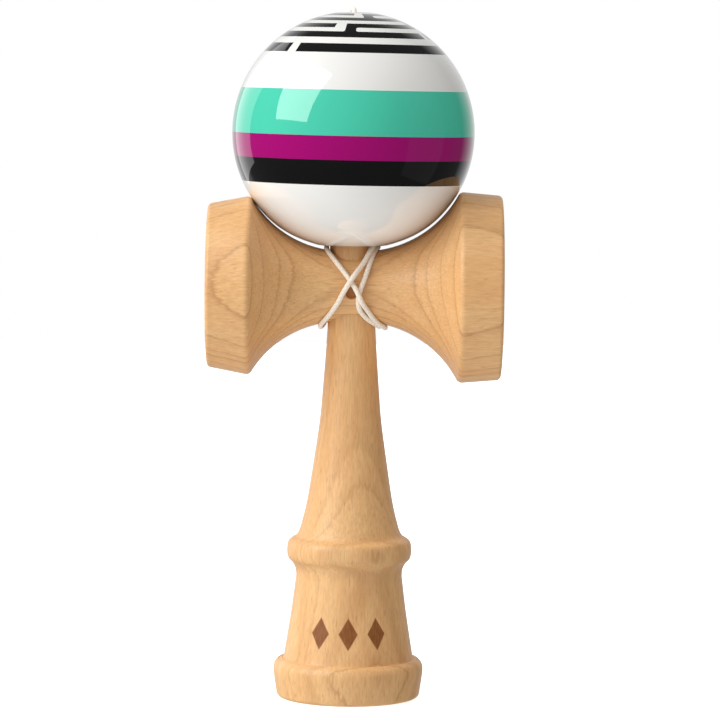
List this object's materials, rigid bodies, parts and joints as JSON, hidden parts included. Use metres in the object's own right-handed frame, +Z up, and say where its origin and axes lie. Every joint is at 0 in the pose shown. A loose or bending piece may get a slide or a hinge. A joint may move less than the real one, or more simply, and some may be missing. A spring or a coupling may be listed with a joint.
{
  "type": "kendama",
  "caption": "Turned wooden cup-and-ball skill toy: a handle with a spike and cupped ends, and a painted ball tied to it by a string.",
  "frame": {"origin": "centre of the base rim plane, on the ken's long axis", "axes": "+Z up the ken's axis towards the spike and ball, +X along the sarado towards the big cup, -Y the front"},
  "size_m": [0.0729, 0.0613, 0.1717],
  "materials": {
    "ken_wood": "satin turned beech, burnished, no varnish",
    "sarado_wood": "satin turned beech, burnished, no varnish",
    "tama_lacquer": "gloss lacquer on wood in bands of white, mint, purple and black",
    "bead_wood": "plain turned wood",
    "string_cord": "braided nylon cord, matt"
  },
  "bodies": {
    "ken": {"ken": "ken_wood", "sarado": "sarado_wood", "ken_knot": "string_cord", "string_winding": "string_cord", "string_riser": "string_cord"},
    "bead": {"bead": "bead_wood", "bead_knot": "string_cord"},
    "tama": {"tama": "tama_lacquer"}
  },
  "joints": [
    {"name": "tama_lift", "type": "slide", "parent": "ken", "child": "bead", "axis": [0, 0, 1], "range_m": [0, 0.055], "deforming": ["string_riser"]},
    {"name": "tama_spin", "type": "hinge", "parent": "bead", "child": "tama", "pos_m": [0, 0, 0.14063], "axis": [0, 0, 1], "continuous": true}
  ]
}
